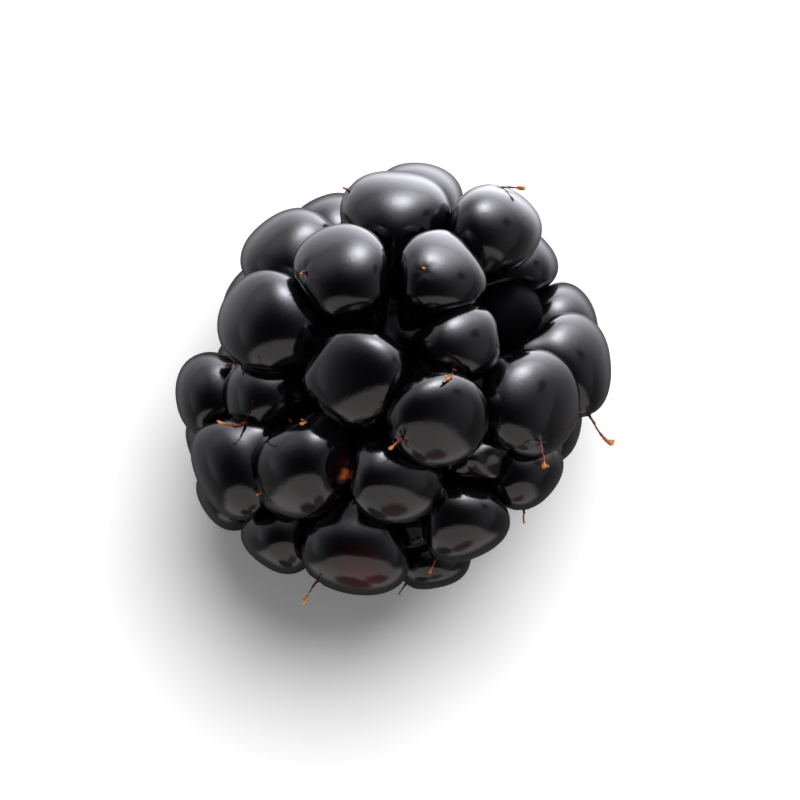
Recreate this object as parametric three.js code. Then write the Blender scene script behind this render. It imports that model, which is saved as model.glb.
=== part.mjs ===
// A ripe bramble berry, picked, standing on its stem end with its tip up.
//
// It is an aggregate fruit: some fifty drupelets, each a little fruit with its own skin, sit
// round a pale receptacle and press flats into one another. The stiffest of the dried styles,
// thin brown threads, stand clear of them. Units are millimetres, +Z is up through the tip,
// and the origin is the middle of the berry's box, on the surface that it stands on.

import * as THREE from "three";

const contactGap = 0.06; // left between two solids that press together
const edgeSharpness = 9; // how squarely a drupelet's dome turns into a pressed flat
const domeSquareness = 2.35; // 2 makes an ellipsoid, and more a flatter face with rounder shoulders
const skinDetail = 2; // subdivision of each drupelet's solid
const styleElbow = 0.3; // share of a style's length that stands straight up from the skin
const styleFacets = 6; // sides of a style, and steps along it
const rootWidth = { atDrupelet: 0.9, atReceptacle: 0.75 }; // the root's share of the drupelet's width
const rootsStart = { low: 6.0, high: 10.5 }; // stretch of the berry's axis that drupelets grow out from

// The receptacle's half outline, from the scar at its foot to its tip: [radius, height].
const receptacle = {
  outline: [
    [0, 2.3], [1.2, 2.2], [1.6, 1.7], [2.5, 1.7], [2.9, 2.5], [3.4, 4.5], [3.6, 6.8],
    [3.4, 8.8], [2.6, 10.6], [1.4, 11.6], [0, 12.0],
  ],
  segments: 20,
};

// Drupelets by zone, from the tip down. Each row is one drupelet: its centre's x, y and z,
// then its width round the berry, its width up the berry, and its thickness outwards.
const zones = {
  crown: [
    [-1.8, 0.2, 17.5, 4.6, 4.9, 4.25],
    [2.3, -2.05, 17.5, 4.7, 4.7, 4.4],
    [3.5, 1.75, 16.1, 3.6, 4.0, 3.85],
  ],
  shoulder: [
    [-2.6, 5.6, 15.3, 4.4, 4.5, 4.25],
    [2.3, 5.5, 15.3, 4.3, 4.3, 4.05],
    [-6.3, 3.1, 14.6, 4.8, 4.8, 4.4],
    [-6.3, -0.4, 12.7, 4.0, 4.2, 3.6],
    [-4.6, -4.6, 14.4, 4.2, 4.8, 4.25],
    [0.3, -5.0, 15.2, 4.7, 4.6, 4.3],
    [7.2, -1.15, 14.5, 5.4, 4.5, 3.95],
  ],
  flank: [
    [5.2, 7.45, 12.6, 4.4, 4.8, 4.25],
    [0.15, 8.2, 12.6, 5.2, 4.7, 4.4],
    [-4.95, 6.1, 12.0, 4.9, 4.6, 4.4],
    [-8.15, -4.5, 12.4, 5.1, 4.3, 3.7],
    [-1.75, -8.5, 12.2, 5.4, 4.7, 4.3],
    [3.75, -7.15, 12.4, 4.4, 4.5, 3.85],
    [6.55, -4.5, 11.8, 4.1, 4.2, 3.7],
    [8.8, 0.7, 11.8, 5.5, 4.4, 4.1],
    [-9.1, -0.75, 10.4, 4.3, 4.4, 3.6],
  ],
  waist: [
    [1.3, 8.7, 8.4, 4.4, 5.0, 4.1],
    [6.0, 5.9, 8.6, 4.2, 5.0, 3.7],
    [8.4, 2.75, 8.2, 4.5, 5.0, 4.05],
    [7.75, -2.25, 9.0, 4.0, 4.8, 3.6],
    [5.1, -4.7, 7.8, 4.2, 4.8, 3.6],
    [2.0, -8.8, 9.0, 4.0, 4.8, 3.5],
    [-2.3, -8.6, 8.0, 4.3, 4.7, 3.7],
    [-5.55, -7.75, 10.2, 4.2, 4.8, 3.7],
    [-8.0, -5.65, 8.6, 3.9, 4.7, 3.6],
    [-8.8, -3.0, 7.4, 3.7, 4.5, 3.3],
    [-7.4, 0.4, 7.0, 4.0, 4.7, 3.4],
    [-6.7, 3.9, 9.4, 4.0, 4.7, 3.5],
    [-3.05, 7.5, 8.2, 4.2, 4.8, 3.85],
  ],
};

// Drupelets that had little room or pollen to grow, in the same columns. The sunken ones lie
// deep between the others.
const misfits = {
  sunken: [
    [6.0, 3.3, 11.4, 3.8, 3.6, 3.3],
    [0.8, 2.6, 12.3, 4.6, 3.6, 2.95],
    [0.2, -2.0, 13.3, 5.0, 4.4, 2.75],
    [-3.2, 2.4, 12.4, 4.0, 3.6, 2.75],
  ],
  crumpled: [[4.4, -4.1, 13.7, 3.2, 3.2, 2.95]],
  wedged: [[1.1, -7.1, 11.8, 3.0, 3.4, 2.75]],
  unripe: [[-2.4, -4.75, 15.4, 1.0, 1.1, 1]],
};

// Two level rows close the berry underneath, and it stands on the lower one.
const levelRows = {
  heel: { count: 9, radius: 6.6, height: 4.7, startDegrees: 12, widths: [5.0, 5.0, 4.3], sway: 0.22 },
  foot: { count: 6, radius: 4.45, height: 2.1, startDegrees: 30, widths: [4.9, 4.6, 3.95], sway: 0 },
};

// Each style: the drupelet that it grows from, where on the skin (as a direction from the drupelet's
// centre), which way its end is bent, its length, and its thickness.
const styles = [
  { on: "flank_drupelet_8", at: [0.4, -0.9, 0.1], bends: [0.7, -0.72, -0.1], length: 1.9, thick: 0.18 },
  { on: "flank_drupelet_1", at: [0.2, 0.97, 0.1], bends: [1.0, -0.1, 0.1], length: 1.1, thick: 0.16 },
  { on: "flank_drupelet_5", at: [-0.75, -0.66, 0], bends: [-0.55, -0.83, -0.2], length: 1.4, thick: 0.16 },
  { on: "shoulder_drupelet_4", at: [-0.35, -0.65, 0.65], bends: [-1.0, 0.1, 0.1], length: 2.0, thick: 0.2 },
  { on: "crown_drupelet_3", at: [-0.12, -0.6, 0.75], bends: [-0.8, -0.4, 0.45], length: 1.1, thick: 0.2 },
];

const skin = new THREE.MeshStandardMaterial({ color: 0x0d0a0f, roughness: 0.25, metalness: 0 });
const unripeSkin = new THREE.MeshStandardMaterial({ color: 0x8a2415, roughness: 0.35, metalness: 0 });
const pith = new THREE.MeshStandardMaterial({ color: 0xd9d3b4, roughness: 0.8, metalness: 0 });
const driedStyle = new THREE.MeshStandardMaterial({ color: 0x9a4a22, roughness: 0.7, metalness: 0 });

// How far the receptacle reaches from the origin along a direction: the furthest outline point,
// turned to face that way, decides it.
function receptacleReach(direction) {
  const sideways = Math.hypot(direction.x, direction.y);
  return Math.max(...receptacle.outline.map(([r, z]) => r * sideways + z * direction.z));
}

// The distance from a drupelet's centre to its skin before anything presses on it. The drupelet
// is a dome, rounder than a box and squarer than a ball, with a root, a cone that narrows towards
// the receptacle. The one that reaches further along the direction makes the skin.
function freeDistance({ axes, half, rootLength }, direction) {
  const [around, up, out] = axes.map((axis) => direction.dot(axis));
  const across = Math.hypot(around / half.around, up / half.up);
  const outwards = Math.abs(out) / half.out;
  const dome = (across ** domeSquareness + outwards ** domeSquareness) ** (-1 / domeSquareness);
  if (out >= 0) return dome;
  const narrowing = (rootWidth.atDrupelet - rootWidth.atReceptacle) / rootWidth.atDrupelet;
  return Math.max(dome, 1 / (across / rootWidth.atDrupelet + (narrowing * -out) / rootLength));
}

// A drupelet before its neighbours press on it: points of its skin, measured from its centre.
function growDrupelet(name, [x, y, z, widthAround, widthUp, thickness]) {
  const centre = new THREE.Vector3(x, y, z);
  const rootStart = new THREE.Vector3(0, 0, THREE.MathUtils.clamp(z, rootsStart.low, rootsStart.high));
  const outward = centre.clone().sub(rootStart).normalize();
  const sideways = new THREE.Vector3(-outward.y, outward.x, 0).normalize();
  const rootLength = centre.dot(outward) - receptacleReach(outward);
  const drupelet = {
    name,
    centre,
    rootLength,
    axes: [sideways, outward.clone().cross(sideways), outward],
    half: { around: widthAround / 2, up: widthUp / 2, out: thickness / 2 },
  };
  const geometry = new THREE.IcosahedronGeometry(1, skinDetail);
  const places = geometry.attributes.position;
  drupelet.geometry = geometry;
  drupelet.skin = Array.from({ length: places.count }, (_, i) => {
    const direction = new THREE.Vector3().fromBufferAttribute(places, i).normalize();
    return direction.multiplyScalar(freeDistance(drupelet, direction));
  });
  return drupelet;
}

// How far a drupelet's free skin reaches along a direction.
function reach(drupelet, direction) {
  return Math.max(...drupelet.skin.map((point) => point.dot(direction)));
}

// A flat holds the skin within limit along normal. The free skin and its flats are blended as a
// power mean, which rounds the edges between them, so the flat's own plane lies a little further
// out than limit: just so far that the blended skin reaches limit and no further.
function flat(drupelet, normal, limit) {
  const share = limit / reach(drupelet, normal);
  if (share >= 1) return [];
  return [{ normal, plane: limit / Math.pow(1 - Math.pow(share, edgeSharpness), 1 / edgeSharpness) }];
}

// Every flat on a drupelet: one on the receptacle, one where it stands on the ground, and one for
// each neighbour that it would run into, shared out by how far the two reach towards each other.
function flatsOn(drupelet, all) {
  const inward = drupelet.axes[2].clone().negate();
  const down = new THREE.Vector3(0, 0, -1);
  const flats = [
    ...flat(drupelet, inward, drupelet.rootLength - contactGap),
    ...flat(drupelet, down, drupelet.centre.z),
  ];
  for (const other of all.filter((candidate) => candidate !== drupelet)) {
    const towards = other.centre.clone().sub(drupelet.centre);
    const distance = towards.length();
    towards.normalize();
    const back = towards.clone().negate();
    if (reach(drupelet, towards) + reach(other, back) <= distance) continue;
    const own = freeDistance(drupelet, towards);
    const theirs = freeDistance(other, back);
    flats.push(...flat(drupelet, towards, (distance * own) / (own + theirs) - contactGap / 2));
  }
  return flats;
}

// A point of the free skin, drawn in towards the drupelet's centre by the flats that it oversteps.
function press(point, flats) {
  const oversteps = flats.map(({ normal, plane }) => Math.max(0, point.dot(normal)) / plane);
  const sum = oversteps.reduce((total, step) => total + Math.pow(step, edgeSharpness), 1);
  return point.clone().multiplyScalar(Math.pow(sum, -1 / edgeSharpness));
}

function drupeletMesh(drupelet, all, material) {
  const flats = flatsOn(drupelet, all);
  drupelet.skin.forEach((point, i) => {
    drupelet.geometry.attributes.position.setXYZ(i, ...press(point, flats));
  });
  drupelet.geometry.computeVertexNormals();
  const mesh = new THREE.Mesh(drupelet.geometry, material);
  mesh.name = drupelet.name;
  mesh.position.copy(drupelet.centre);
  return mesh;
}

// A level row of drupelets, evenly spaced round the axis, each swaying a little up or down.
function levelRow({ count, radius, height, startDegrees, widths, sway }) {
  return Array.from({ length: count }, (_, i) => {
    const angle = THREE.MathUtils.degToRad(startDegrees) + (i * 2 * Math.PI) / count;
    const lift = sway * Math.sin(3 * angle);
    return [radius * Math.cos(angle), radius * Math.sin(angle), height + lift, ...widths];
  });
}

// A bent thread that starts on a drupelet's skin.
function styleMesh(name, { on, at, bends, length, thick }, all) {
  const drupelet = all.find((candidate) => candidate.name === on);
  const way = new THREE.Vector3(...at).normalize();
  const onSkin = press(way.clone().multiplyScalar(freeDistance(drupelet, way)), flatsOn(drupelet, all));
  const root = drupelet.centre.clone().add(onSkin).addScaledVector(way, contactGap);
  const elbow = root.clone().addScaledVector(way, length * styleElbow);
  const end = new THREE.Vector3(...bends).normalize();
  const tip = elbow.clone().addScaledVector(end, length * (1 - styleElbow));
  const section = new THREE.Shape().absarc(0, 0, thick / 2, 0, Math.PI * 2);
  const geometry = new THREE.ExtrudeGeometry(section, {
    extrudePath: new THREE.QuadraticBezierCurve3(root, elbow, tip),
    steps: styleFacets,
    curveSegments: styleFacets,
  });
  const mesh = new THREE.Mesh(geometry, driedStyle);
  mesh.name = name;
  return mesh;
}

function receptacleMesh() {
  const profile = receptacle.outline.map(([r, z]) => new THREE.Vector2(r, z));
  const mesh = new THREE.Mesh(new THREE.LatheGeometry(profile, receptacle.segments), pith);
  mesh.name = "receptacle";
  mesh.rotation.x = Math.PI / 2;
  return mesh;
}

const rows = { ...zones, heel: levelRow(levelRows.heel), foot: levelRow(levelRows.foot), ...misfits };
const drupelets = Object.entries(rows).flatMap(([zone, row]) =>
  row.map((numbers, i) => growDrupelet(`${zone}_drupelet_${i + 1}`, numbers)),
);

const fruit = new THREE.Group();
fruit.add(receptacleMesh());
for (const drupelet of drupelets) {
  const material = drupelet.name.startsWith("unripe") ? unripeSkin : skin;
  fruit.add(drupeletMesh(drupelet, drupelets, material));
}
styles.forEach((style, i) => fruit.add(styleMesh(`style_${i + 1}`, style, drupelets)));

// Stand the berry on z = 0, with the origin in the middle of its box.
const box = new THREE.Box3().setFromObject(fruit, true);
const middle = box.getCenter(new THREE.Vector3());
fruit.position.set(-middle.x, -middle.y, -box.min.z);

const berry = new THREE.Group();
berry.add(fruit);

export default berry;
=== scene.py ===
# A ripe bramble berry on a white table, seen from straight above. Each drupelet of the packed
# part gets its finished skin, and the dried styles, the receptacle and the studio are added.

import bpy
import math
import numpy as np
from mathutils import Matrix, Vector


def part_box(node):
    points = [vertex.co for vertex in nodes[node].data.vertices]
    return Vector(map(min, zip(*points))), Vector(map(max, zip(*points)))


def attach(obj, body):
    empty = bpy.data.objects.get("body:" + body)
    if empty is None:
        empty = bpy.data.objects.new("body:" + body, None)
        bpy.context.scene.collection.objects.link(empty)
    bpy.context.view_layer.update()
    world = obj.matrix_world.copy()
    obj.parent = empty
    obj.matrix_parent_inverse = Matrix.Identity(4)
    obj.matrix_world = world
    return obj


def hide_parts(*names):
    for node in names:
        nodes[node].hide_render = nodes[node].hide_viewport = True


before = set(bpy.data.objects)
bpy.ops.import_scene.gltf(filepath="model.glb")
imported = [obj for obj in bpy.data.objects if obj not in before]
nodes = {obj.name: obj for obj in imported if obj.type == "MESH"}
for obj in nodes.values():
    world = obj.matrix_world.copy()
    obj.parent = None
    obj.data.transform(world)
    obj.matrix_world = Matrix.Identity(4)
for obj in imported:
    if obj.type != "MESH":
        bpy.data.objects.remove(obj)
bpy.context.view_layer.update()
mm = 0.001

# The berry's upright axis runs through the middle of its receptacle.
receptacleLow, receptacleHigh = (np.array(corner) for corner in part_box("receptacle"))
berryAxis = (receptacleLow + receptacleHigh) / 2 * [1, 1, 0]
print("frame loaded:", len(nodes), "nodes, berry axis at", np.round(berryAxis / mm, 3), "mm")


def toLinear(hexColour):
    # An sRGB hex colour as linear red, green, blue and alpha.
    parts = [int(hexColour[i:i + 2], 16) / 255 for i in (1, 3, 5)]
    return [c / 12.92 if c <= 0.04045 else ((c + 0.055) / 1.055) ** 2.4 for c in parts] + [1.0]


def addNode(tree, kind, settings=None, inputs=None):
    # Adds one shader node with its properties. An input is a value, or the socket that feeds it.
    node = tree.nodes.new(kind)
    for key, value in (settings or {}).items():
        setattr(node, key, value)
    for key, value in (inputs or {}).items():
        if isinstance(value, bpy.types.NodeSocket):
            tree.links.new(value, node.inputs[key])
        else:
            node.inputs[key].default_value = value
    return node


def newMaterial(name):
    material = bpy.data.materials.new(name)
    material.use_nodes = True
    material.node_tree.nodes.clear()
    return material, material.node_tree, addNode(material.node_tree, "ShaderNodeOutputMaterial")


def unit(vector):
    vector = np.asarray(vector, float)
    return vector / np.linalg.norm(vector, axis=-1, keepdims=True)


def meshFromSheet(name, sheet, material, values):
    # A closed surface from a grid of points, rows x columns x 3. The columns run right round, each
    # end row closes on a point in its middle, and every value becomes an attribute of the points.
    rows, columns = sheet.shape[:2]
    points = np.vstack([sheet.reshape(-1, 3), sheet[0].mean(0), sheet[-1].mean(0)])
    here = np.arange(columns)
    after = np.roll(here, -1)
    start = (np.arange(rows - 1) * columns)[:, None]
    quads = np.stack([start + here, start + after, start + columns + after, start + columns + here], -1)
    firstTip, lastTip, lastRow = rows * columns, rows * columns + 1, (rows - 1) * columns
    fans = np.stack([[after, here, np.full(columns, firstTip)],
                     [lastRow + here, lastRow + after, np.full(columns, lastTip)]]).transpose(0, 2, 1)
    sizes = np.concatenate([np.full(quads[..., 0].size, 4), np.full(2 * columns, 3)])
    loops = np.concatenate([quads.ravel(), fans.ravel()]).astype(np.int32)
    mesh = bpy.data.meshes.new(name)
    mesh.vertices.add(len(points))
    mesh.vertices.foreach_set("co", points.astype(np.float32).ravel())
    mesh.loops.add(len(loops))
    mesh.loops.foreach_set("vertex_index", loops)
    mesh.polygons.add(len(sizes))
    mesh.polygons.foreach_set("loop_start", (np.cumsum(sizes) - sizes).astype(np.int32))
    mesh.polygons.foreach_set("use_smooth", np.ones(len(sizes), bool))
    for key, grid in values.items():
        flat = np.concatenate([grid.ravel(), [grid[0].mean(), grid[-1].mean()]])
        mesh.attributes.new(key, "FLOAT", "POINT").data.foreach_set("value", flat.astype(np.float32))
    mesh.update(calc_edges=True)
    mesh.materials.append(material)
    piece = bpy.data.objects.new(name, mesh)
    bpy.context.scene.collection.objects.link(piece)
    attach(piece, "root")
    return piece


def solidCorners(node):
    # A CAD node's mesh is loose triangles, so its corners are merged here, to a tenth of a micron.
    mesh = nodes[node].data
    flat = np.zeros(len(mesh.vertices) * 3, np.float32)
    mesh.vertices.foreach_get("co", flat)
    return np.unique(np.round(flat.reshape(-1, 3).astype(float), 7), axis=0)


# Drupelet skins. The real one is a fruit's own skin, a taut film full of juice. Ripe, it is nearly black and
# mirrors the room with soft edges. Unripe, it is orange-red, rough and dull. The sunken ones, down among the
# others, get a copy of the ripe skin with little gloss, a painted shade that keeps them dark. The "blush"
# attribute, 0 to 1, mixes in the redder colour, and a second attribute, 0 to 1, takes the gloss away, a painted
# shade in crevices. The skin's real cells are a few hundredths of a mm wide, too fine to show, so its pores are
# drawn coarser.
ripeLook = {
    "base": "#050406", "blush": "#4d1210", "ior": 1.56, "roughness": 0.15, "gloss": 0.5, "bump": 0.5,
    "poreSize": 0.16 * mm, "poreDepth": 0.009 * mm, "rippleSize": 0.55 * mm, "rippleDepth": 0.012 * mm,
}
unripeLook = {
    "base": "#0c0405", "blush": "#b04a22", "ior": 1.45, "roughness": 0.6, "gloss": 0.2, "bump": 0.5,
    "poreSize": 0.11 * mm, "poreDepth": 0.12 * mm, "rippleSize": 0.4 * mm, "rippleDepth": 0.05 * mm,
}
# A copy of the ripe skin with little gloss: painted shade for the sunken drupelets.
paintedShadeLook = dict(ripeLook, ior=1.3, roughness=0.5, gloss=0.15)


def drupeletSkin(name, look):
    material, tree, output = newMaterial(name)
    blush = addNode(tree, "ShaderNodeAttribute", {"attribute_name": "blush"})
    colour = addNode(tree, "ShaderNodeMix", {"data_type": "RGBA"}, {
        0: blush.outputs["Fac"], 6: toLinear(look["base"]), 7: toLinear(look["blush"])})
    place = addNode(tree, "ShaderNodeTexCoord")
    ripple = addNode(tree, "ShaderNodeTexNoise", None, {
        "Vector": place.outputs["Object"], "Scale": 1 / look["rippleSize"], "Detail": 1.0})
    pores = addNode(tree, "ShaderNodeTexNoise", None, {
        "Vector": place.outputs["Object"], "Scale": 1 / look["poreSize"], "Detail": 3.0})
    broad = addNode(tree, "ShaderNodeBump", None, {
        "Height": ripple.outputs["Fac"], "Strength": look["bump"], "Distance": look["rippleDepth"]})
    fine = addNode(tree, "ShaderNodeBump", None, {
        "Height": pores.outputs["Fac"], "Strength": look["bump"], "Distance": look["poreDepth"],
        "Normal": broad.outputs["Normal"]})
    # Painted shade: where this attribute is 1 the skin loses its gloss, so a crevice looks dark.
    painted_shade = addNode(tree, "ShaderNodeAttribute", {"attribute_name": "painted_shade"})
    gloss = addNode(tree, "ShaderNodeMapRange", None, {
        "Value": painted_shade.outputs["Fac"], "To Min": look["gloss"], "To Max": 0.0})
    skin = addNode(tree, "ShaderNodeBsdfPrincipled", None, {
        "Base Color": colour.outputs[2], "Normal": fine.outputs["Normal"], "Roughness": look["roughness"],
        "IOR": look["ior"], "Specular IOR Level": gloss.outputs[0]})
    tree.links.new(skin.outputs[0], output.inputs["Surface"])
    return material


ripeSkin = drupeletSkin("ripe bramble skin", ripeLook)
unripeSkin = drupeletSkin("unripe bramble skin", unripeLook)
paintedShadeSkin = drupeletSkin("bramble skin with painted shade", paintedShadeLook)

drupeletGrid = {
    "rings": 60, "spokes": 88,  # rings from the style's scar to the root, and spokes round them
    "crowding": 1.5,            # packs the rings close together round the scar
    "bell": 9.0,                # narrowness of the bells that carry the skin past the solid's corners
    "ease": 0.1,                # how far the skin may leave a corner to stay smooth
    "growsFrom": (6.0 * mm, 10.5 * mm),  # stretch of the berry's axis that drupelets grow out from
    "scarOut": 0.55, "scarFall": -0.85,  # a scar faces this much outwards and this much down
    "flatEdge": 9,              # how sharply a dome turns into a pressed flat
    "swell": 0.025,             # gentle unevenness of a skin full of juice, in mm
    "swellLength": 2.4,         # and its wavelength, in mm
    "pit": 0.06,                # depth in mm of the dimple round the style's foot
    "pitWidth": 0.15,           # and its width, in radians
    "foldsAt": 0.2, "foldsWidth": 0.12,  # small folds round the dimple, in radians from the scar
    "lean": 0.28,               # slope that a face usually falls by, away from the berry's axis
    "leanReach": 7 * mm,        # distance from the axis at which it has all of that slope
    "leanDrop": 0.4,            # share of its size out from the middle at which it pivots
}
# What marks each drupelet, as directions from its middle: the scar that its style dried on, flats (direction,
# share of the way out that is left), dents (direction, depth in mm, width in radians), and spots that are red
# ("blush") or without gloss, a painted shade that keeps crevices dark, as direction, strength and width in
# radians. It leans as a slope: how far its face rises, east and north. "pit", "swell" and "swellLength" stand in
# for the usual ones, in mm, and "shrink" is the share of its size that is left.
marks = {
    "crown_drupelet_1": {"scar": (-0.62, -0.74, -0.12), "lean": (0.3, 0.3), "flats": [
        ((-0.8, 0.6, 0), 0.87), ((-0.7, -0.72, 0), 0.87), ((0.94, -0.35, 0), 0.86), ((0.1, 1, 0), 0.93)]},
    "crown_drupelet_2": {"scar": (-0.63, -0.43, 0.64), "lean": (-0.2, 0.3), "flats": [
        ((-0.4, 0.85, 0.2), 0.93)]},
    "crown_drupelet_3": {"lean": (-0.25, 0.1), "flats": [
        ((-0.61, 0.79, 0), 0.85), ((1, 0.1, 0), 0.87), ((-0.75, -0.66, 0), 0.8)]},
    "shoulder_drupelet_1": {"scar": (-0.76, 0.06, 0.64), "painted_shade": [((0.3, -0.95, -0.1), 1.0, 0.6)],
                            "lean": (0.15, -0.1), "flats": [
        ((1, -0.06, 0), 0.85), ((-0.78, -0.62, 0), 0.9)]},
    "shoulder_drupelet_2": {"scar": (-0.29, 0.14, 0.94), "pit": 0.02,
                            "painted_shade": [((-0.4, -0.9, -0.1), 1.0, 0.6)], "lean": (-0.2, -0.1), "flats": [
        ((-1, 0, 0), 0.84), ((0.37, -0.93, 0), 0.84), ((0.86, 0.5, 0), 0.88)],
        "dents": [((-0.31, 0.09, 0.94), 0.035, 0.09), ((-0.42, 0.0, 0.9), 0.03, 0.1)]},
    "shoulder_drupelet_3": {"scar": (-0.66, -0.72, 0.1), "lean": (0.25, 0.1)},
    "shoulder_drupelet_4": {"lean": (0.2, 0.1), "flats": [((-0.7, 0.7, 0.1), 0.9)]},
    "shoulder_drupelet_5": {"scar": (-0.75, -0.45, 0.45), "lean": (0.25, 0.35), "blush": [
        ((0.96, -0.12, 0.25), 0.85, 0.36)]},
    "shoulder_drupelet_6": {"lean": (-0.35, 0.1), "flats": [((0.7, 0.7, 0.1), 0.8)]},
    "shoulder_drupelet_7": {"scar": (0.20, -0.78, 0.60), "lean": (-0.4, 0.05), "flats": [
        ((-1, 0.1, 0), 0.88)]},
    "flank_drupelet_1": {"lean": (-0.35, 0.0)},
    "flank_drupelet_2": {"scar": (-0.8, 0.5, 0.2), "lean": (0.0, -0.3)},
    "flank_drupelet_3": {"lean": (0.25, -0.2)},
    "flank_drupelet_4": {"lean": (0.25, 0.15)},
    "flank_drupelet_5": {"lean": (0.0, 0.35), "blush": [((0.08, -0.62, 0.78), 0.8, 0.42)]},
    "flank_drupelet_6": {"scar": (-0.52, -0.85, 0.0), "lean": (-0.1, 0.3)},
    "flank_drupelet_7": {"scar": (0.12, -0.98, 0.0)},
    "flank_drupelet_8": {"lean": (-0.4, 0.0)},
    "flank_drupelet_9": {"scar": (0.6, 0.27, 0.7), "lean": (0.3, 0.05)},
    "waist_drupelet_6": {"scar": (-0.62, -0.78, 0.0)},
    "sunken_drupelet_1": {"painted_shade": [((0.0, 0.0, 1.0), 0.8, 1.6)]},
    "wedged_drupelet_1": {"painted_shade": [((0.0, -0.5, 0.8), 0.85, 0.8)]},
    "sunken_drupelet_3": {"scar": (-0.2, 0.15, 0.97)},
    "crumpled_drupelet_1": {"scar": (-0.8, -0.37, 0.4), "swell": 0.2, "swellLength": 1.3},
    "unripe_drupelet_1": {"scar": (0.8, -0.2, 0.5), "lean": (0, 0), "swell": 0.3, "swellLength": 0.8,
                          "shrink": 0.7, "blush": [((0.2, 0.0, 1.0), 1.0, 0.55)]},
}
# How much wider each drupelet swells than its solid, east and north, and how far in mm it is pushed
# aside, as they press on each other.
fits = {
    "crumpled_drupelet_1": ((1.10, 0.85), (-0.1, 0.35)),
    "crown_drupelet_1": ((1.13, 1.14), (0.0, -0.1)), "crown_drupelet_2": ((1.10, 1.07), (-0.12, 0.25)),
    "crown_drupelet_3": ((1.16, 1.05), (-0.12, 0.0)), "shoulder_drupelet_1": ((1.15, 1.10), (0.25, -0.4)),
    "shoulder_drupelet_2": ((1.11, 1.06), (0.07, -0.4)), "shoulder_drupelet_3": ((1.12, 1.10), (0.3, -0.28)),
    "shoulder_drupelet_4": ((1.03, 1.10), (-0.35, -0.25)), "shoulder_drupelet_5": ((1.18, 1.12), (0.1, 0.1)),
    "shoulder_drupelet_6": ((1.07, 1.05), (-0.05, 0.3)), "shoulder_drupelet_7": ((1.14, 1.02), (-0.28, 0.0)),
    "flank_drupelet_1": ((1.08, 1.00), (-0.15, 0.05)), "flank_drupelet_2": ((1.08, 1.02), (0.0, 0.0)),
    "flank_drupelet_3": ((1.08, 1.05), (0.0, 0.0)), "flank_drupelet_4": ((1.02, 1.07), (0.25, 0.1)),
    "flank_drupelet_5": ((1.07, 1.03), (0.0, 0.0)), "flank_drupelet_6": ((1.10, 1.05), (-0.25, 0.2)),
    "flank_drupelet_7": ((1.12, 1.00), (-0.2, 0.0)), "flank_drupelet_8": ((1.06, 1.00), (0.0, 0.0)),
    "waist_drupelet_1": ((1.05, 1.05), (0.0, 0.18)), "waist_drupelet_2": ((1.10, 1.03), (0.15, 0.0)),
}
# How far each is lowered, where a minus raises it.
sinks = {"sunken_drupelet_1": 1.5 * mm, "crumpled_drupelet_1": 0.1 * mm, "unripe_drupelet_1": -0.4 * mm,
         "shoulder_drupelet_1": -0.9 * mm, "shoulder_drupelet_2": -0.9 * mm, "crown_drupelet_1": 0.3 * mm}
# The CAD node of the style on each of these drupelets.
styleNodes = {"flank_drupelet_8": "style_1", "flank_drupelet_1": "style_2", "flank_drupelet_5": "style_3",
              "shoulder_drupelet_4": "style_4", "crown_drupelet_3": "style_5"}


def outwardWay(centre):
    # The way that a drupelet grows, out from the nearest point of the axis that carries drupelets.
    way = centre - berryAxis
    way[2] -= np.clip(centre[2], *drupeletGrid["growsFrom"])
    return unit(way)


def reachThrough(corners, centre, directions):
    # The skin's distance from the centre in a direction is a steady distance plus a sum of bells,
    # exp(bell * (cosine of the angle to a corner - 1)), weighted so that it passes by each corner.
    arms = corners - centre
    reach = np.linalg.norm(arms, axis=1)
    arms = arms / reach[:, None]
    bell = drupeletGrid["bell"]
    pull = np.exp(bell * (arms @ arms.T - 1)) + drupeletGrid["ease"] * np.eye(len(arms))
    weights = np.linalg.solve(pull, reach - reach.mean())
    return reach.mean() + np.exp(bell * (directions @ arms.T - 1)) @ weights


def angleTo(directions, way):
    return np.arccos(np.clip(directions @ unit(way), -1, 1))


def settle(node, sheet, centre, size):
    # The skin is widened and pushed aside as "fits" says. It leans as a shear: every point is raised
    # by the slope of its face times its distance from the pivot, which lies inward of the middle, so
    # the face mostly falls outward. "sinks" lowers it, and nothing goes below the table.
    if node.startswith(("heel", "foot")):
        slope = np.zeros(2)
    else:
        inward = (berryAxis - centre)[:2] / drupeletGrid["leanReach"]
        usual = drupeletGrid["lean"] * inward / max(1.0, np.linalg.norm(inward))
        slope = np.array(marks.get(node, {}).get("lean", usual))
    wider, aside = fits.get(node, ((1, 1), (0, 0)))
    apart = (sheet[..., :2] - centre[:2]) * wider
    raised = apart @ slope - drupeletGrid["leanDrop"] * size * np.linalg.norm(slope)
    height = np.maximum(sheet[..., 2] + raised - sinks.get(node, 0), 0)
    return np.concatenate([centre[:2] + apart + np.array(aside) * mm, height[..., None]], -1)


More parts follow.
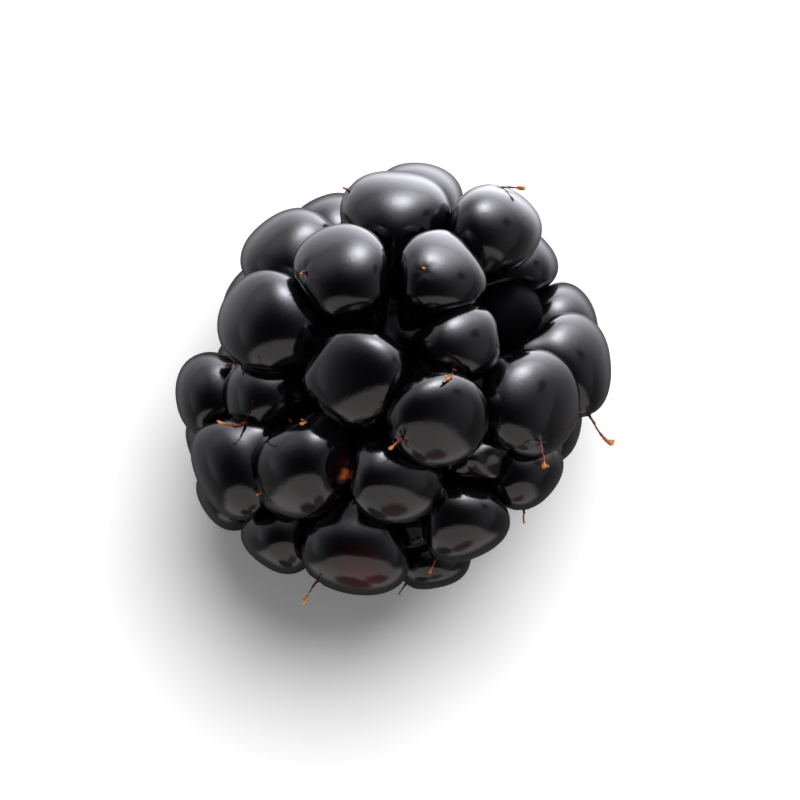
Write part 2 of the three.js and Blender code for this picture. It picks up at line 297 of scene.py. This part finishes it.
def growSkin(node, random):
    # Directions sweep from the scar (polar angle 0) to the far side (half a turn): the cosine of the
    # polar angle along the scar, and its sine along a way that turns round it. Each is carried out
    # to the solid's skin, then moved in or out by the flats, swell, dimple, folds and dents.
    corners = solidCorners(node)
    centre = corners.mean(0)
    mark = marks.get(node, {})
    if node in styleNodes:
        thread = solidCorners(styleNodes[node])
        scar = unit(thread[np.argmin(np.linalg.norm(thread - centre, axis=1))] - centre)
    else:
        fallen = 0.0 if node.startswith("foot") else drupeletGrid["scarFall"]
        usual = outwardWay(centre) * drupeletGrid["scarOut"] + np.array([0, 0, fallen])
        scar = unit(mark.get("scar", usual))
    # Two ways square to the scar and to each other. The fixed one only has to differ from the scar.
    side = unit(np.cross(scar, [0.31, 0.17, 0.93]))
    other = np.cross(side, scar)
    rings, spokes = drupeletGrid["rings"], drupeletGrid["spokes"]
    polar = math.pi * ((np.arange(rings) + 0.5) / rings) ** drupeletGrid["crowding"]
    turn = 2 * math.pi * np.arange(spokes) / spokes
    polar, turn = (grid.ravel()[:, None] for grid in np.meshgrid(polar, turn, indexing="ij"))
    ways = np.cos(polar) * scar + np.sin(polar) * (np.cos(turn) * side + np.sin(turn) * other)
    reach = mark.get("shrink", 1) * reachThrough(corners, centre, ways)
    edge = drupeletGrid["flatEdge"]
    size = reach.mean()
    squeeze = np.ones(len(ways))
    for way, share in mark.get("flats", []):
        squeeze += np.clip(ways @ unit(way) * reach / (share * size), 0, None) ** edge
    reach = reach * squeeze ** (-1 / edge)
    swell = mark.get("swell", drupeletGrid["swell"])
    wavelength = mark.get("swellLength", drupeletGrid["swellLength"]) * mm
    waves = unit(random.normal(size=(5, 3))) * 2 * math.pi / wavelength
    phases = random.uniform(0, 2 * math.pi, 5)
    reach = reach + swell * mm * np.sin(ways * size @ waves.T + phases).mean(1)
    pit = mark.get("pit", drupeletGrid["pit"]) * mm
    angle = polar[:, 0]
    around = turn[:, 0]
    folds = 0.3 * np.sin(2 * around + phases[0]) + 0.2 * np.sin(5 * around + phases[1])
    dimple = np.exp(-(angle / drupeletGrid["pitWidth"]) ** 2)
    foldRing = np.exp(-((angle - drupeletGrid["foldsAt"]) / drupeletGrid["foldsWidth"]) ** 2)
    reach = reach - pit * dimple + pit * folds * foldRing
    for way, depth, width in mark.get("dents", []):
        reach = reach - depth * mm * np.exp(-(angleTo(ways, way) / width) ** 2)
    spots = {"blush": np.zeros(len(ways)), "painted_shade": np.zeros(len(ways))}
    for key, values in spots.items():
        for way, strength, width in mark.get(key, []):
            values[:] = np.maximum(values, strength * np.exp(-(angleTo(ways, way) / width) ** 2))
    sheet = (centre + ways * reach[:, None]).reshape(rings, spokes, 3)
    sheet = settle(node, sheet, centre, size)
    zone = node.split("_")[0]
    # Sunken drupelets take the copy with painted shade, so they stay dark among the others.
    skin = {"unripe": unripeSkin, "sunken": paintedShadeSkin}.get(zone, ripeSkin)
    piece = meshFromSheet("skin_of_" + node, sheet, skin, spots)
    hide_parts(node)
    return {"scar": scar, "foot": sheet[0].mean(0), "ways": ways, "points": sheet.reshape(-1, 3)}


drupelets = {}
for number, node in enumerate(sorted(name for name in nodes if "drupelet" in name)):
    drupelets[node] = growSkin(node, np.random.default_rng(number))
print("drupelets skinned:", len(drupelets))


# A dried style is a papery plant thread that shrank as it dried: dull brown, dark red at its foot
# and pale orange at its stigma, with dark flecks along its fibres. Real fibres are about 0.01 mm
# wide, too fine to show, so they are drawn coarser. A style is a little thinner than its "thick".
styleLook = {
    "foot": "#42150f", "middle": "#7c3219", "stigma": "#d68c52", "fleck": "#3c130e",
    "footEnds": 0.15, "middleAt": 0.6,  # shares of the way along
    "fleckStart": 0.58, "fleckFull": 0.72, "fleckShare": 0.5,  # noise levels, and the most colour
    "fibreSize": 0.05 * mm, "fibreDepth": 0.02 * mm, "bump": 0.8, "roughness": 0.55, "ior": 1.45,
    "rows": 36, "columns": 12, "drawn": 0.76,
    "upright": 0.35, "bent": 0.7,       # shares of its length before and after the elbow
    "stray": 0.5, "wobble": 0.03,       # randomness of its way, and of its path as a share of length
    "swelling": {"fork": 0.7, "knob": 0.6, "plain": 0.15},
    "prongLength": 0.3, "prongThick": 0.85, "prongColour": 0.6,
}


def driedStyle():
    material, tree, output = newMaterial("dried style")
    along = addNode(tree, "ShaderNodeAttribute", {"attribute_name": "along"})
    ramp = addNode(tree, "ShaderNodeValToRGB", None, {"Fac": along.outputs["Fac"]})
    ramp.color_ramp.elements[0].color = toLinear(styleLook["foot"])
    ramp.color_ramp.elements[0].position = styleLook["footEnds"]
    ramp.color_ramp.elements[1].color = toLinear(styleLook["stigma"])
    ramp.color_ramp.elements.new(styleLook["middleAt"]).color = toLinear(styleLook["middle"])
    place = addNode(tree, "ShaderNodeTexCoord")
    fibre = addNode(tree, "ShaderNodeTexNoise", None, {
        "Vector": place.outputs["Object"], "Scale": 1 / styleLook["fibreSize"], "Detail": 3.0})
    fleck = addNode(tree, "ShaderNodeMapRange", None, {
        "Value": fibre.outputs["Fac"], "From Min": styleLook["fleckStart"],
        "From Max": styleLook["fleckFull"], "To Max": styleLook["fleckShare"]})
    colour = addNode(tree, "ShaderNodeMix", {"data_type": "RGBA"}, {
        0: fleck.outputs[0], 6: ramp.outputs["Color"], 7: toLinear(styleLook["fleck"])})
    bump = addNode(tree, "ShaderNodeBump", None, {
        "Height": fibre.outputs["Fac"], "Strength": styleLook["bump"], "Distance": styleLook["fibreDepth"]})
    thread = addNode(tree, "ShaderNodeBsdfPrincipled", None, {
        "Base Color": colour.outputs[2], "Normal": bump.outputs["Normal"],
        "Roughness": styleLook["roughness"], "IOR": styleLook["ior"]})
    tree.links.new(thread.outputs[0], output.inputs["Surface"])
    return material


styleMaterial = driedStyle()
# Each style: its drupelet, the way its end is bent, its length and thickness in mm, its stigma
# ("fork", "knob" or "plain"), and optionally another scar than the drupelet's own, or how far in mm
# its end is nudged off its CAD node's.
styles = [
    {"on": "flank_drupelet_8", "bends": (0.6, -0.8, 0), "length": 1.9, "thick": 0.19, "stigma": "fork"},
    {"on": "flank_drupelet_1", "bends": (1.0, -0.1, 0), "length": 1.1, "thick": 0.15, "stigma": "knob",
     "nudge": (0.2, -0.4, 0)},
    {"on": "flank_drupelet_5", "bends": (-0.55, -0.83, 0), "length": 1.4, "thick": 0.14, "stigma": "fork"},
    {"on": "shoulder_drupelet_4", "bends": (-1.0, 0.0, 0.1), "length": 2.0, "thick": 0.2, "stigma": "knob",
     "nudge": (0, 0, 1.4)},
    {"on": "crown_drupelet_3", "bends": (-0.8, -0.4, 0.4), "length": 1.1, "thick": 0.2, "stigma": "fork",
     "nudge": (0, 0, 1.7)},
    {"on": "crown_drupelet_2", "bends": (-0.7, -0.6, 0.3), "length": 0.9, "thick": 0.2, "stigma": "knob"},
    {"on": "shoulder_drupelet_7", "bends": (0.1, -0.95, 0.2), "length": 1.4, "thick": 0.17, "stigma": "fork"},
    {"on": "flank_drupelet_7", "bends": (0.0, -0.9, -0.2), "length": 0.7, "thick": 0.16, "stigma": "plain"},
    {"on": "flank_drupelet_6", "bends": (-0.4, -0.9, 0.0), "length": 0.9, "thick": 0.17, "stigma": "knob"},
    {"on": "waist_drupelet_6", "bends": (-0.5, -0.8, -0.1), "length": 0.7, "thick": 0.15, "stigma": "plain"},
    {"on": "crumpled_drupelet_1", "bends": (0.5, -0.3, 0.6), "length": 0.6, "thick": 0.16, "stigma": "plain"},
    {"on": "sunken_drupelet_3", "bends": (-0.6, -0.7, 0.4), "length": 0.8, "thick": 0.18, "stigma": "knob"},
    {"on": "unripe_drupelet_1", "bends": (1.0, 0.1, 0.2), "length": 0.6, "thick": 0.2, "stigma": "knob"},
    {"on": "crown_drupelet_1", "bends": (-1.0, -0.15, 0.3), "length": 1.5, "thick": 0.2, "stigma": "fork"},
    {"on": "shoulder_drupelet_4", "bends": (-1.0, -0.3, 0.5), "length": 1.3, "thick": 0.15, "stigma": "plain",
     "scar": (0.66, -0.6, 0.45)},
    {"on": "crown_drupelet_3", "bends": (-0.6, -0.75, 0.2), "length": 0.5, "thick": 0.13, "stigma": "plain",
     "scar": (-0.27, -0.9, 0.3)},
]
defaultStyle = {"length": 0.35, "thick": 0.18, "stigma": "plain"}


def addStyle(name, style, random, node=None, prongOf=None):
    # A tube along a curved path, (1-t)^2 * start + 2t(1-t) * elbow + t^2 * tip, so it leaves the scar
    # straight, then leans over to its bent end. Its radius narrows from the foot, swells again at
    # the stigma, and is lumpy and flattened as dry threads are: sines of t and of the turn round it.
    drupelet = drupelets[style["on"]]
    way, foot = prongOf or (drupelet["scar"], drupelet["foot"])
    if "scar" in style:
        way = unit(style["scar"])
        foot = drupelet["points"][np.argmax(drupelet["ways"] @ way)]
    bends = unit(style.get("bends", way + random.normal(size=3) * styleLook["stray"]))
    length = style["length"] * mm
    radius = styleLook["drawn"] * style["thick"] * mm / 2
    rows, columns = styleLook["rows"], styleLook["columns"]
    t = (np.arange(rows) + 0.5)[:, None] / rows
    elbow = foot + way * length * styleLook["upright"]
    tip = elbow + bends * length * styleLook["bent"]
    nudge = np.array(style.get("nudge", (0, 0, 0))) * mm
    if node:
        # The CAD style's end is the middle of the six corners that lie furthest from its foot.
        thread = solidCorners(node)
        tip = thread[np.argsort(np.linalg.norm(thread - foot, axis=1))[-6:]].mean(0)
        tip = tip + nudge
        elbow = elbow + 0.7 * nudge
    start = foot - way * radius
    path = (1 - t) ** 2 * start + 2 * t * (1 - t) * elbow + t ** 2 * tip
    wobble = random.normal(size=(2, 3)) * styleLook["wobble"] * length
    path = path + t * (np.sin(t * 7) * wobble[0] + np.sin(t * 15 + 1) * wobble[1] * 0.6)
    ahead = unit(np.gradient(path, axis=0))
    side = unit(np.cross(ahead, [0.2, 0.5, 0.84]))
    other = np.cross(ahead, side)
    turn = 2 * math.pi * np.arange(columns)[None, :] / columns
    swelling = styleLook["swelling"][style["stigma"]]
    profile = 1.0 - 0.35 * t + 0.5 * np.exp(-(t / 0.12) ** 2) + swelling * np.exp(-((t - 0.9) / 0.1) ** 2)
    profile = profile * (1 + 0.17 * np.sin(t * 19 + random.uniform(0, 6)) + 0.12 * np.sin(t * 41))
    profile = profile * np.clip((1 - t) / 0.06, 0, 1) ** 0.5
    rough = 1 + (0.2 + 0.35 * t ** 3) * np.cos(2 * turn + 5 * t) + 0.14 * np.sin(3 * turn - 23 * t)
    ring = (profile * radius * rough)[..., None]
    around = np.cos(turn)[..., None] * side[:, None] + np.sin(turn)[..., None] * other[:, None]
    sheet = path[:, None] + ring * around
    along = np.maximum(t, styleLook["prongColour"] if prongOf else 0) + 0 * turn
    piece = meshFromSheet(name, sheet, styleMaterial, {"along": along})
    if node:
        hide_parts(node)
    if style["stigma"] == "fork":
        # Its stigma has split: a short second prong leaves the thread near its end, to one side.
        split = rows * 3 // 4
        aside = unit(ahead[split] * 0.5 + side[split] * random.choice([-1, 1]))
        prong = dict(style, stigma="plain", bends=aside, length=styleLook["prongLength"] * style["length"],
                     thick=styleLook["prongThick"] * style["thick"])
        addStyle(name + "_prong", prong, random, None, (ahead[split], path[split]))


for number, style in enumerate(styles):
    first = style["on"] in styleNodes and "scar" not in style
    addStyle("dried_style_%02d" % (number + 1), style, np.random.default_rng(500 + number),
             styleNodes[style["on"]] if first else None)
bare = [name for name in drupelets if name not in {style["on"] for style in styles}]
for number, name in enumerate(bare):
    addStyle("style_stub_%02d" % (number + 1), dict(defaultStyle, on=name),
             np.random.default_rng(600 + number))
print("styles dried on:", len(styles) + len(bare))


# The receptacle is the fruit's pale pith, matt and faintly fibrous. Where drupelets sit on it, it is dark,
# partly a juice stain and partly painted shade of the crevices among them, and only the torn scar underneath,
# where the stem was, stays pale.
receptacleLook = {
    "pale": "#d6cfa4", "stained_and_shaded": "#050204", "roughness": 0.7, "ior": 1.4, "bump": 0.7,
    "poreSize": 0.3 * mm, "poreDepth": 0.06 * mm,
    "rings": 90, "spokes": 120, "fibreDepth": 0.06 * mm, "fibres": 23,
    "fibreStart": 1.5 * mm,     # distance from the axis at which its fibres stand out in full
    "scarTop": 2.2 * mm, "stainAndShadeTop": 3.2 * mm, "stainAndShadeWaves": 0.3 * mm,
    "scarReach": 2.6 * mm,      # how far along its outline, from the foot, the scar reaches
    "roots": 0.6, "rootRise": 2.5 * mm,  # drupelet roots that swell it, as a share of its radius
}


def fruitPith():
    material, tree, output = newMaterial("bramble pith")
    stain_and_shade = addNode(tree, "ShaderNodeAttribute", {"attribute_name": "stain_and_shade"})
    colour = addNode(tree, "ShaderNodeMix", {"data_type": "RGBA"}, {
        0: stain_and_shade.outputs["Fac"], 6: toLinear(receptacleLook["pale"]), 7: toLinear(receptacleLook["stained_and_shaded"])})
    place = addNode(tree, "ShaderNodeTexCoord")
    pores = addNode(tree, "ShaderNodeTexNoise", None, {
        "Vector": place.outputs["Object"], "Scale": 1 / receptacleLook["poreSize"], "Detail": 4.0})
    bump = addNode(tree, "ShaderNodeBump", None, {
        "Height": pores.outputs["Fac"], "Strength": receptacleLook["bump"],
        "Distance": receptacleLook["poreDepth"]})
    pith = addNode(tree, "ShaderNodeBsdfPrincipled", None, {
        "Base Color": colour.outputs[2], "Normal": bump.outputs["Normal"],
        "Roughness": receptacleLook["roughness"], "IOR": receptacleLook["ior"]})
    tree.links.new(pith.outputs[0], output.inputs["Surface"])
    return material


def addReceptacle():
    # The solid's outline, as radius and height, is turned round the axis. Fibres run up it as low
    # ridges, sines of the angle round the axis, and fade towards its two ends.
    corners = solidCorners("receptacle") - berryAxis
    outline = np.stack([np.hypot(corners[:, 0], corners[:, 1]), corners[:, 2]], -1)
    outline = np.unique(np.round(outline, 5), axis=0)
    middle = (receptacleLow[2] + receptacleHigh[2]) / 2
    outline = outline[np.argsort(np.arctan2(outline[:, 1] - middle, outline[:, 0]))]
    along = np.concatenate([[0], np.cumsum(np.linalg.norm(np.diff(outline, axis=0), axis=1))])
    rings, spokes = receptacleLook["rings"], receptacleLook["spokes"]
    steps = along[-1] * (np.arange(rings) + 0.5) / rings
    radius = np.interp(steps, along, outline[:, 0])[:, None]
    height = np.interp(steps, along, outline[:, 1])[:, None]
    turn = 2 * math.pi * np.arange(spokes)[None, :] / spokes
    strands = receptacleLook["fibres"]
    fibres = np.sin(strands * turn) + 0.6 * np.sin(2.0 * strands * turn + 3 * height / mm)
    fade = np.clip(radius / receptacleLook["fibreStart"], 0, 1)
    radius = radius - receptacleLook["fibreDepth"] * fade * (1 + 0.5 * fibres)
    # The roots of the drupelets fill the space round it, from over the scar to near its top.
    rise = receptacleLook["rootRise"]
    low, high = receptacleLook["stainAndShadeTop"], receptacleHigh[2]
    filled = np.clip((height - low) / rise, 0, 1) * np.clip((high - height) / rise, 0, 1)
    radius = radius * (1 + receptacleLook["roots"] * np.sin(filled * math.pi / 2))
    sheet = berryAxis + np.stack([radius * np.cos(turn), radius * np.sin(turn), height + 0 * turn], -1)
    # The dark above the scar is partly a juice stain and partly painted shade of the crevices.
    start, end = receptacleLook["scarTop"], receptacleLook["stainAndShadeTop"]
    stain_and_shade = np.clip((height + receptacleLook["stainAndShadeWaves"] * np.sin(7 * turn) - start) / (end - start), 0, 1)
    stain_and_shade = np.where(steps[:, None] < receptacleLook["scarReach"], 0.0, stain_and_shade)
    piece = meshFromSheet("pith_of_receptacle", sheet, fruitPith(), {"stain_and_shade": stain_and_shade})
    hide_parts("receptacle")


addReceptacle()
print("receptacle made")

# The table as the camera and other light meet it, and as the skins mirror it. What they mirror is placed by
# direction from a point 10 mm up the berry's axis: tilt from straight up and turn from north by east in degrees,
# then tightness and strength. Distances are from the same point. The two glows are painted light on the table,
# seen only in the skins, that stands for the window's and the north-west wall's light, and the card's foot is
# painted on it the same way.
floorLook = {
    "size": 1.6, "matt": "#e8e8ea", "shown": 1.25, "matInGloss": 0.1, "eyeHeight": 10 * mm,
    "glows": [(110, 20, 5, 7), (105, -50, 3, 1)],
    "glowStart": 16 * mm, "glowEnd": 26 * mm, "nearShare": 0.05,
    "card": 0.8, "cardTurn": 180, "cardSpread": (47, 38), "cardStart": 24 * mm, "cardEnd": 36 * mm,
}
studioTint = {"walls": "#f0f0f9", "card": "#fbf0f1", "red": "#c48a86"}
# Things that stand before the card, as tilt, turn, and half their width and height, in degrees,
# the share of the card's light that each kind leaves, and where their soft edge starts and ends, as
# a share of their width.
darkThings = [(104, 188, 11, 7)]
redThings = [(98, 170, 8.5, 6.5), (96, 163, 7, 6)]
thingShares = {"dark": 0.0, "red": 0.45}
thingEdge = (1.15, 0.85)
# A Map Range with this setting goes smoothly from one level to another.
softly = {"interpolation_type": "SMOOTHSTEP"}


def wayTo(tilt, turn):
    # The direction at a tilt from straight up and a turn from north by east, in degrees.
    tilt, turn = math.radians(tilt), math.radians(turn)
    return (math.sin(tilt) * math.sin(turn), math.sin(tilt) * math.cos(turn), math.cos(tilt))


def glow(tree, ways, tilt, turn, tightness, strength):
    # strength * exp(tightness * (cosine of the angle from the ways to the glow's middle - 1))
    cosine = addNode(tree, "ShaderNodeVectorMath", {"operation": "DOT_PRODUCT"},
                     {0: ways, 1: wayTo(tilt, turn)})
    power = addNode(tree, "ShaderNodeMath", {"operation": "MULTIPLY_ADD"},
                    {0: cosine.outputs["Value"], 1: tightness, 2: math.log(strength) - tightness})
    return addNode(tree, "ShaderNodeMath", {"operation": "EXPONENT"}, {0: power.outputs[0]}).outputs[0]


def combined(tree, operation, parts):
    # One socket from a list of sockets and numbers: their sum, product or largest.
    total = parts[0]
    for part in parts[1:]:
        total = addNode(tree, "ShaderNodeMath", {"operation": operation}, {0: total, 1: part}).outputs[0]
    return total


def standing(tree, ways, things):
    # 1 where one of the things stands and 0 elsewhere, by the angle to its middle. Up and down are
    # stretched, so that a flat oval counts as round.
    covers = []
    for tilt, turn, width, height in things:
        middle = wayTo(tilt, turn)
        apart = addNode(tree, "ShaderNodeVectorMath", {"operation": "SUBTRACT"},
                        {0: ways, 1: middle}).outputs[0]
        apart = addNode(tree, "ShaderNodeVectorMath", {"operation": "MULTIPLY"},
                        {0: apart, 1: (1, 1, width / height)}).outputs[0]
        angle = addNode(tree, "ShaderNodeVectorMath", {"operation": "LENGTH"}, {0: apart}).outputs["Value"]
        outer, inner = (math.radians(width * share) for share in thingEdge)
        cover = addNode(tree, "ShaderNodeMapRange", softly, {
            "Value": angle, "From Min": outer, "From Max": inner})
        covers.append(cover.outputs[0])
    return combined(tree, "MAXIMUM", covers)


def cardLight(tree, ways, card):
    # The card's light that is left past the things before it, and its tint.
    dark = standing(tree, ways, darkThings)
    red = standing(tree, ways, redThings)
    lights = [card]
    for cover, share in ((dark, thingShares["dark"]), (red, thingShares["red"])):
        kept = addNode(tree, "ShaderNodeMapRange", softly, {"Value": cover, "To Min": 1.0, "To Max": share})
        lights.append(kept.outputs[0])
    left = combined(tree, "MULTIPLY", lights)
    tint = addNode(tree, "ShaderNodeMix", {"data_type": "RGBA"},
                   {0: red, 6: toLinear(studioTint["card"]), 7: toLinear(studioTint["red"])})
    tint = addNode(tree, "ShaderNodeMix", {"data_type": "RGBA"},
                   {0: card, 6: toLinear(studioTint["walls"]), 7: tint.outputs[2]})
    return left, tint.outputs[2]


def whiteTable():
    # A white laminate table top, matt and even to the camera and to other light. In the glossy skins it is dim,
    # but for painted light on it: its two glows and the foot of the pale card, which start a little way off the
    # berry and glow only for glossy rays.
    material, tree, output = newMaterial("white laminate table")
    path = addNode(tree, "ShaderNodeLightPath")
    colour = addNode(tree, "ShaderNodeMix", {"data_type": "RGBA"},
                     {0: path.outputs["Is Glossy Ray"], 6: toLinear(floorLook["matt"]),
                      7: [floorLook["matInGloss"]] * 3 + [1]})
    colour = addNode(tree, "ShaderNodeMix", {"data_type": "RGBA"},
                     {0: path.outputs["Is Camera Ray"], 6: colour.outputs[2], 7: [floorLook["shown"]] * 3 + [1]})
    matt = addNode(tree, "ShaderNodeBsdfDiffuse", None, {"Color": colour.outputs[2]})
    place = addNode(tree, "ShaderNodeTexCoord")
    eye = berryAxis + np.array([0, 0, floorLook["eyeHeight"]])
    away = addNode(tree, "ShaderNodeVectorMath", {"operation": "SUBTRACT"},
                   {0: place.outputs["Object"], 1: tuple(eye)}).outputs[0]
    ways = addNode(tree, "ShaderNodeVectorMath", {"operation": "NORMALIZE"}, {0: away}).outputs[0]
    distance = addNode(tree, "ShaderNodeVectorMath", {"operation": "LENGTH"}, {0: away}).outputs["Value"]
    glows = combined(tree, "ADD", [glow(tree, ways, *each) for each in floorLook["glows"]])
    start = addNode(tree, "ShaderNodeMapRange", softly, {
        "Value": distance, "From Min": floorLook["glowStart"], "From Max": floorLook["glowEnd"],
        "To Min": floorLook["nearShare"]}).outputs[0]
    south = math.radians(floorLook["cardTurn"])
    level = addNode(tree, "ShaderNodeVectorMath", {"operation": "MULTIPLY"},
                    {0: away, 1: (1, 1, 0)}).outputs[0]
    level = addNode(tree, "ShaderNodeVectorMath", {"operation": "NORMALIZE"}, {0: level}).outputs[0]
    facing = addNode(tree, "ShaderNodeVectorMath", {"operation": "DOT_PRODUCT"},
                     {0: level, 1: (math.sin(south), math.cos(south), 0)}).outputs["Value"]
    outer, inner = (math.cos(math.radians(angle)) for angle in floorLook["cardSpread"])
    across = addNode(tree, "ShaderNodeMapRange", softly, {
        "Value": facing, "From Min": outer, "From Max": inner}).outputs[0]
    outwards = addNode(tree, "ShaderNodeMapRange", softly, {
        "Value": distance, "From Min": floorLook["cardStart"], "From Max": floorLook["cardEnd"]}).outputs[0]
    card = combined(tree, "MULTIPLY", [across, outwards])
    left, tint = cardLight(tree, ways, card)
    light = combined(tree, "ADD", [combined(tree, "MULTIPLY", [glows, start]),
                                   combined(tree, "MULTIPLY", [left, floorLook["card"]])])
    # Painted light: the glows and the card's foot light the table only for glossy rays.
    shown = combined(tree, "MULTIPLY", [light, path.outputs["Is Glossy Ray"]])
    mirrored = addNode(tree, "ShaderNodeEmission", None, {"Color": tint, "Strength": shown})
    both = addNode(tree, "ShaderNodeAddShader", None, {0: matt.outputs[0], 1: mirrored.outputs[0]})
    tree.links.new(both.outputs[0], output.inputs["Surface"])
    half = floorLook["size"] / 2
    mesh = bpy.data.meshes.new("table_top")
    corners = [(-half, -half, 0), (half, -half, 0), (half, half, 0), (-half, half, 0)]
    mesh.from_pydata(corners, [], [(0, 1, 2, 3)])
    mesh.materials.append(material)
    floor = bpy.data.objects.new("table_top", mesh)
    bpy.context.scene.collection.objects.link(floor)


whiteTable()

# The room in the skins, by compass: x is east, y is north and z is up, as in the frame. Each glow
# is tilt from straight up and turn from north by east in degrees, tightness and strength: the lamp,
# the wide light round it, the window low in the north, the north-west wall, the east wall, and a
# patch low in the west. "windowBar", given the same way, is a dim thing in the east that leaves only
# a share of their light. The card fills the south below its edge, as y, and between its sides, as
# x, and "soft" is the width of its edges.
room = {
    "plain": 0.22, "dim": 0.012, "backdrop": 1.0,
    "glows": [(60, 10, 25, 15), (55, 20, 8, 4), (100, 20, 6, 7), (75, -50, 8, 1), (80, 100, 5, 0.4),
              (100, -100, 10, 0.9)],
    "card": 0.86, "cardEdge": -0.72, "cardHalf": 0.67, "soft": 0.03,
    "windowBar": (66, 74, 60, 0.7), "barStart": 0.2, "barFull": 0.5, "barLeaves": 0.35,
}


def studioRoom():
    # Light as a function of direction. The skins mirror a dim room with soft glows, and a pale card
    # that stands in the south. Everything else is lit by a plain, even room.
    world = bpy.data.worlds.new("studio_room")
    bpy.context.scene.world = world
    world.use_nodes = True
    tree = world.node_tree
    tree.nodes.clear()
    output = addNode(tree, "ShaderNodeOutputWorld")
    ways = addNode(tree, "ShaderNodeTexCoord").outputs["Generated"]
    axes = addNode(tree, "ShaderNodeSeparateXYZ", None, {0: ways})
    glows = combined(tree, "ADD", [glow(tree, ways, *each) for each in room["glows"]] + [room["dim"]])
    bar = addNode(tree, "ShaderNodeMapRange", softly, {
        "Value": glow(tree, ways, *room["windowBar"]), "From Min": room["barStart"],
        "From Max": room["barFull"], "To Min": 1.0, "To Max": room["barLeaves"]}).outputs[0]
    soft = room["soft"]
    side = addNode(tree, "ShaderNodeMath", {"operation": "ABSOLUTE"}, {0: axes.outputs[0]}).outputs[0]
    below = addNode(tree, "ShaderNodeMapRange", softly, {
        "Value": axes.outputs[1], "From Min": room["cardEdge"] + soft / 2,
        "From Max": room["cardEdge"] - soft / 2}).outputs[0]
    between = addNode(tree, "ShaderNodeMapRange", softly, {
        "Value": side, "From Min": room["cardHalf"] + 2 * soft,
        "From Max": room["cardHalf"] - 2 * soft}).outputs[0]
    card = combined(tree, "MULTIPLY", [below, between])
    left, tint = cardLight(tree, ways, card)
    light = combined(tree, "ADD", [combined(tree, "MULTIPLY", [glows, bar]),
                                   combined(tree, "MULTIPLY", [left, room["card"]])])
    path = addNode(tree, "ShaderNodeLightPath")
    mirrored = addNode(tree, "ShaderNodeBackground", None, {"Color": tint, "Strength": light})
    plain = addNode(tree, "ShaderNodeBackground", None, {"Color": (1, 1, 1, 1), "Strength": room["plain"]})
    backdrop = addNode(tree, "ShaderNodeBackground", None,
                       {"Color": (1, 1, 1, 1), "Strength": room["backdrop"]})
    inside = addNode(tree, "ShaderNodeMixShader", None,
                     {0: path.outputs["Is Glossy Ray"], 1: plain.outputs[0], 2: mirrored.outputs[0]})
    both = addNode(tree, "ShaderNodeMixShader", None,
                   {0: path.outputs["Is Camera Ray"], 1: inside.outputs[0], 2: backdrop.outputs[0]})
    tree.links.new(both.outputs[0], output.inputs["Surface"])


studioRoom()

# The lamp that throws the shadow: a wide one, softened, high in the north-north-east. The skins
# mirror the room's own lamp instead.
keyLook = {"strength": 3, "tilt": 35, "turn": 20, "width": 45}


def keyLamp():
    lamp = bpy.data.lights.new("key_lamp", "SUN")
    lamp.energy = keyLook["strength"]
    lamp.angle = math.radians(keyLook["width"])
    holder = bpy.data.objects.new("key_lamp", lamp)
    holder.rotation_euler = (-math.radians(keyLook["tilt"]), 0, -math.radians(keyLook["turn"]))
    holder.visible_glossy = False
    bpy.context.scene.collection.objects.link(holder)


keyLamp()

view = {
    "lens": 250, "sensor": 36, "clipStart": 0.01, "width": 40 * mm, "outlineHeight": 12 * mm,
    "aim": (0.4 * mm, -1.0 * mm),
}


def addCamera():
    # Straight down, with the picture's width taken at the height of the berry's outline.
    camera = bpy.data.objects.new("camera", bpy.data.cameras.new("camera"))
    camera.data.lens = view["lens"]
    camera.data.sensor_width = view["sensor"]
    camera.data.clip_start = view["clipStart"]
    distance = view["width"] * view["lens"] / view["sensor"]
    camera.location = (berryAxis[0] + view["aim"][0], berryAxis[1] + view["aim"][1],
                       view["outlineHeight"] + distance)
    bpy.context.scene.collection.objects.link(camera)
    bpy.context.scene.camera = camera


addCamera()
bpy.context.scene.view_settings.view_transform = "Standard"
print("floor, room and camera made")
